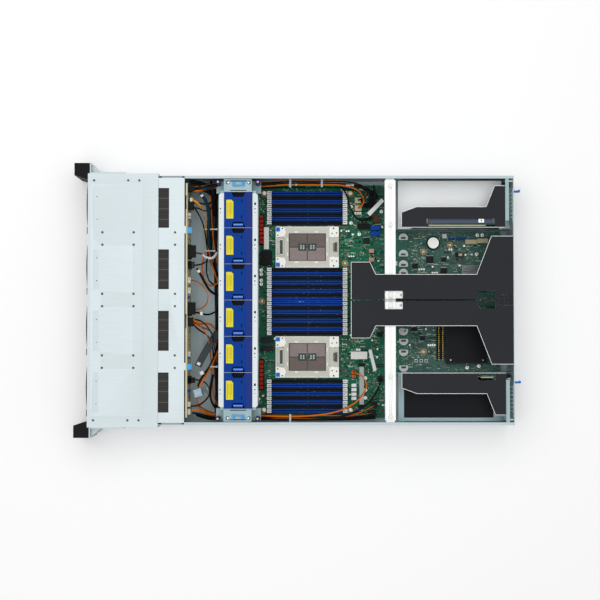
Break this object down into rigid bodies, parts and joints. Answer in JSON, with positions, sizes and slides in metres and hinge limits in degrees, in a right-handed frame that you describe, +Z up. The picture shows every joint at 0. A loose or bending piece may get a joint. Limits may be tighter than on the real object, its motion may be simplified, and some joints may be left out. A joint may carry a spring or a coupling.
{
  "type": "rack server",
  "caption": "Two-unit rack server with its top cover off: front drive trays, a wall of fans, open mainboard, risers and rear power supplies.",
  "frame": {"origin": "middle of the chassis's front face, on its underside", "axes": "+Y from the front to the rear, +Z up, +X to the right seen from the front"},
  "size_m": [0.4826, 0.7918, 0.087],
  "materials": {
    "steel": "zinc-plated sheet, satin",
    "cage_steel": "zinc-plated sheet, satin",
    "cover": "zinc-plated sheet, satin",
    "black_plastic": "fine moulded grain",
    "drive": "cast drive in a black tray",
    "fan_blue": "moulded blue",
    "rotor": "moulded black",
    "rail_white": "pale finish",
    "latch_blue": "moulded pale blue",
    "board": "green solder mask",
    "memory": "blue and black slots with white latches",
    "bar": "satin",
    "riser": "black, fine texture",
    "cards": "riser boards with slots",
    "cable": "insulated wires",
    "supply": "sheet case",
    "tab": "moulded blue",
    "button": "moulded grey"
  },
  "bodies": {
    "chassis": {"chassis_base": "steel", "rear_panel": "steel", "rear_frame": "steel", "drive_cage": "cage_steel", "front_cover": "cover", "vent_cover": "cover", "backplane": "board", "rack_ears": "steel", "ear_caps": "black_plastic", "fan_wall_frame": "rail_white", "motherboard": "board", "memory_slots": "memory", "cross_bar": "bar", "riser_brackets": "riser", "riser_cards": "cards", "cables": "cable"},
    "tray_1": {"drive_tray_1": "drive"},
    "tray_handle_1": {"tray_lever_1": "black_plastic"},
    "tray_2": {"drive_tray_2": "drive"},
    "tray_handle_2": {"tray_lever_2": "black_plastic"},
    "tray_3": {"drive_tray_3": "drive"},
    "tray_handle_3": {"tray_lever_3": "black_plastic"},
    "tray_4": {"drive_tray_4": "drive"},
    "tray_handle_4": {"tray_lever_4": "black_plastic"},
    "tray_5": {"drive_tray_5": "drive"},
    "tray_handle_5": {"tray_lever_5": "black_plastic"},
    "tray_6": {"drive_tray_6": "drive"},
    "tray_handle_6": {"tray_lever_6": "black_plastic"},
    "tray_7": {"drive_tray_7": "drive"},
    "tray_handle_7": {"tray_lever_7": "black_plastic"},
    "tray_8": {"drive_tray_8": "drive"},
    "tray_handle_8": {"tray_lever_8": "black_plastic"},
    "tray_9": {"drive_tray_9": "drive"},
    "tray_handle_9": {"tray_lever_9": "black_plastic"},
    "tray_10": {"drive_tray_10": "drive"},
    "tray_handle_10": {"tray_lever_10": "black_plastic"},
    "tray_11": {"drive_tray_11": "drive"},
    "tray_handle_11": {"tray_lever_11": "black_plastic"},
    "tray_12": {"drive_tray_12": "drive"},
    "tray_handle_12": {"tray_lever_12": "black_plastic"},
    "fan_1": {"fan_module_1": "fan_blue"},
    "rotor_1": {"fan_rotor_1": "rotor"},
    "fan_2": {"fan_module_2": "fan_blue"},
    "rotor_2": {"fan_rotor_2": "rotor"},
    "fan_3": {"fan_module_3": "fan_blue"},
    "rotor_3": {"fan_rotor_3": "rotor"},
    "fan_4": {"fan_module_4": "fan_blue"},
    "rotor_4": {"fan_rotor_4": "rotor"},
    "fan_5": {"fan_module_5": "fan_blue"},
    "rotor_5": {"fan_rotor_5": "rotor"},
    "fan_6": {"fan_module_6": "fan_blue"},
    "rotor_6": {"fan_rotor_6": "rotor"},
    "supply_1": {"psu_1": "supply"},
    "supply_tab_1": {"psu_lever_1": "tab"},
    "supply_2": {"psu_2": "supply"},
    "supply_tab_2": {"psu_lever_2": "tab"},
    "power_switch": {"power_button": "button"},
    "id_switch": {"id_button": "button"},
    "fan_latch_left": {"fan_wall_latch_left": "latch_blue"},
    "fan_latch_right": {"fan_wall_latch_right": "latch_blue"}
  },
  "joints": [
    {"name": "tray_1_slide", "type": "slide", "parent": "chassis", "child": "tray_1", "axis": [0, -1, 0], "range_m": [0, 0.16]},
    {"name": "tray_1_lever", "type": "hinge", "parent": "tray_1", "child": "tray_handle_1", "pos_m": [-0.2027, 0.002, 0.0149], "axis": [0, 0, -1], "range_deg": [0, 60]},
    {"name": "tray_2_slide", "type": "slide", "parent": "chassis", "child": "tray_2", "axis": [0, -1, 0], "range_m": [0, 0.16]},
    {"name": "tray_2_lever", "type": "hinge", "parent": "tray_2", "child": "tray_handle_2", "pos_m": [-0.0957, 0.002, 0.0149], "axis": [0, 0, -1], "range_deg": [0, 60]},
    {"name": "tray_3_slide", "type": "slide", "parent": "chassis", "child": "tray_3", "axis": [0, -1, 0], "range_m": [0, 0.16]},
    {"name": "tray_3_lever", "type": "hinge", "parent": "tray_3", "child": "tray_handle_3", "pos_m": [0.0113, 0.002, 0.0149], "axis": [0, 0, -1], "range_deg": [0, 60]},
    {"name": "tray_4_slide", "type": "slide", "parent": "chassis", "child": "tray_4", "axis": [0, -1, 0], "range_m": [0, 0.16]},
    {"name": "tray_4_lever", "type": "hinge", "parent": "tray_4", "child": "tray_handle_4", "pos_m": [0.1183, 0.002, 0.0149], "axis": [0, 0, -1], "range_deg": [0, 60]},
    {"name": "tray_5_slide", "type": "slide", "parent": "chassis", "child": "tray_5", "axis": [0, -1, 0], "range_m": [0, 0.16]},
    {"name": "tray_5_lever", "type": "hinge", "parent": "tray_5", "child": "tray_handle_5", "pos_m": [-0.2027, 0.002, 0.043], "axis": [0, 0, -1], "range_deg": [0, 60]},
    {"name": "tray_6_slide", "type": "slide", "parent": "chassis", "child": "tray_6", "axis": [0, -1, 0], "range_m": [0, 0.16]},
    {"name": "tray_6_lever", "type": "hinge", "parent": "tray_6", "child": "tray_handle_6", "pos_m": [-0.0957, 0.002, 0.043], "axis": [0, 0, -1], "range_deg": [0, 60]},
    {"name": "tray_7_slide", "type": "slide", "parent": "chassis", "child": "tray_7", "axis": [0, -1, 0], "range_m": [0, 0.16]},
    {"name": "tray_7_lever", "type": "hinge", "parent": "tray_7", "child": "tray_handle_7", "pos_m": [0.0113, 0.002, 0.043], "axis": [0, 0, -1], "range_deg": [0, 60]},
    {"name": "tray_8_slide", "type": "slide", "parent": "chassis", "child": "tray_8", "axis": [0, -1, 0], "range_m": [0, 0.16]},
    {"name": "tray_8_lever", "type": "hinge", "parent": "tray_8", "child": "tray_handle_8", "pos_m": [0.1183, 0.002, 0.043], "axis": [0, 0, -1], "range_deg": [0, 60]},
    {"name": "tray_9_slide", "type": "slide", "parent": "chassis", "child": "tray_9", "axis": [0, -1, 0], "range_m": [0, 0.16]},
    {"name": "tray_9_lever", "type": "hinge", "parent": "tray_9", "child": "tray_handle_9", "pos_m": [-0.2027, 0.002, 0.0711], "axis": [0, 0, -1], "range_deg": [0, 60]},
    {"name": "tray_10_slide", "type": "slide", "parent": "chassis", "child": "tray_10", "axis": [0, -1, 0], "range_m": [0, 0.16]},
    {"name": "tray_10_lever", "type": "hinge", "parent": "tray_10", "child": "tray_handle_10", "pos_m": [-0.0957, 0.002, 0.0711], "axis": [0, 0, -1], "range_deg": [0, 60]},
    {"name": "tray_11_slide", "type": "slide", "parent": "chassis", "child": "tray_11", "axis": [0, -1, 0], "range_m": [0, 0.16]},
    {"name": "tray_11_lever", "type": "hinge", "parent": "tray_11", "child": "tray_handle_11", "pos_m": [0.0113, 0.002, 0.0711], "axis": [0, 0, -1], "range_deg": [0, 60]},
    {"name": "tray_12_slide", "type": "slide", "parent": "chassis", "child": "tray_12", "axis": [0, -1, 0], "range_m": [0, 0.16]},
    {"name": "tray_12_lever", "type": "hinge", "parent": "tray_12", "child": "tray_handle_12", "pos_m": [0.1183, 0.002, 0.0711], "axis": [0, 0, -1], "range_deg": [0, 60]},
    {"name": "fan_1_lift", "type": "slide", "parent": "chassis", "child": "fan_1", "axis": [0, 0, 1], "range_m": [0, 0.09]},
    {"name": "fan_1_spin", "type": "hinge", "parent": "fan_1", "child": "rotor_1", "pos_m": [-0.159, 0.2644, 0.038], "axis": [0, 1, 0], "continuous": true},
    {"name": "fan_2_lift", "type": "slide", "parent": "chassis", "child": "fan_2", "axis": [0, 0, 1], "range_m": [0, 0.09]},
    {"name": "fan_2_spin", "type": "hinge", "parent": "fan_2", "child": "rotor_2", "pos_m": [-0.0954, 0.2644, 0.038], "axis": [0, 1, 0], "continuous": true},
    {"name": "fan_3_lift", "type": "slide", "parent": "chassis", "child": "fan_3", "axis": [0, 0, 1], "range_m": [0, 0.09]},
    {"name": "fan_3_spin", "type": "hinge", "parent": "fan_3", "child": "rotor_3", "pos_m": [-0.0318, 0.2644, 0.038], "axis": [0, 1, 0], "continuous": true},
    {"name": "fan_4_lift", "type": "slide", "parent": "chassis", "child": "fan_4", "axis": [0, 0, 1], "range_m": [0, 0.09]},
    {"name": "fan_4_spin", "type": "hinge", "parent": "fan_4", "child": "rotor_4", "pos_m": [0.0318, 0.2644, 0.038], "axis": [0, 1, 0], "continuous": true},
    {"name": "fan_5_lift", "type": "slide", "parent": "chassis", "child": "fan_5", "axis": [0, 0, 1], "range_m": [0, 0.09]},
    {"name": "fan_5_spin", "type": "hinge", "parent": "fan_5", "child": "rotor_5", "pos_m": [0.0954, 0.2644, 0.038], "axis": [0, 1, 0], "continuous": true},
    {"name": "fan_6_lift", "type": "slide", "parent": "chassis", "child": "fan_6", "axis": [0, 0, 1], "range_m": [0, 0.09]},
    {"name": "fan_6_spin", "type": "hinge", "parent": "fan_6", "child": "rotor_6", "pos_m": [0.159, 0.2644, 0.038], "axis": [0, 1, 0], "continuous": true},
    {"name": "psu_1_slide", "type": "slide", "parent": "chassis", "child": "supply_1", "axis": [0, 1, 0], "range_m": [0, 0.19]},
    {"name": "psu_1_tab", "type": "hinge", "parent": "supply_1", "child": "supply_tab_1", "pos_m": [-0.19635, 0.7505, 0.0317], "axis": [0, 0, -1], "range_deg": [0, 8]},
    {"name": "psu_2_slide", "type": "slide", "parent": "chassis", "child": "supply_2", "axis": [0, 1, 0], "range_m": [0, 0.19]},
    {"name": "psu_2_tab", "type": "hinge", "parent": "supply_2", "child": "supply_tab_2", "pos_m": [0.14615, 0.7505, 0.0317], "axis": [0, 0, -1], "range_deg": [0, 8]},
    {"name": "power_button_press", "type": "slide", "parent": "chassis", "child": "power_switch", "axis": [0, 1, 0], "range_m": [0, 0.0015]},
    {"name": "id_button_press", "type": "slide", "parent": "chassis", "child": "id_switch", "axis": [0, 1, 0], "range_m": [0, 0.0015]},
    {"name": "fan_latch_left_turn", "type": "hinge", "parent": "chassis", "child": "fan_latch_left", "pos_m": [-0.208, 0.2641, 0.0842], "axis": [0, -1, 0], "range_deg": [0, 90]},
    {"name": "fan_latch_right_turn", "type": "hinge", "parent": "chassis", "child": "fan_latch_right", "pos_m": [0.208, 0.2641, 0.0842], "axis": [0, 1, 0], "range_deg": [0, 90]}
  ]
}
